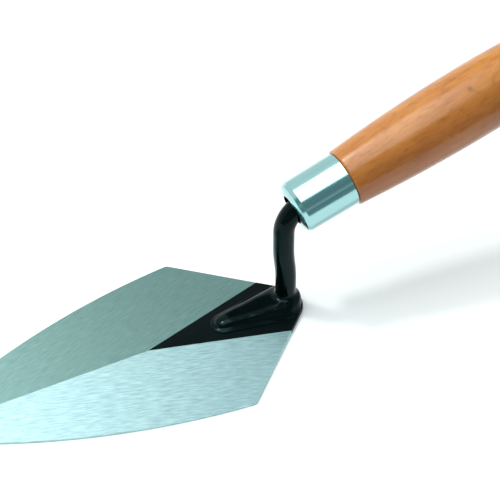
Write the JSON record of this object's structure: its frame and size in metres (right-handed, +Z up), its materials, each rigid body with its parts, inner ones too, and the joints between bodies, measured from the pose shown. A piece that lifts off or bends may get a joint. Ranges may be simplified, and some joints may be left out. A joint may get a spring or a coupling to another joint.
{
  "type": "brick trowel",
  "caption": "Pointed brick trowel: flat-bottomed steel blade with a low ridge, cranked black neck, chromed ferrule and a turned wooden handle.",
  "frame": {"origin": "on the underside of the blade, on the centre line, level with the two widest corners", "axes": "+X from the blade towards the handle end, +Y to the left side of the blade seen from the handle, +Z up from the underside"},
  "size_m": [0.2926, 0.0898, 0.1037],
  "materials": {
    "blade_steel": "brushed along the length",
    "black_lacquer": "glossy black lacquer",
    "chrome_plate": "polished",
    "varnished_wood": "varnished orange-brown hardwood"
  },
  "bodies": {
    "root": {"blade": "blade_steel", "tang": "black_lacquer", "weld_bead": "black_lacquer", "ferrule": "chrome_plate", "handle": "varnished_wood"}
  },
  "joints": []
}
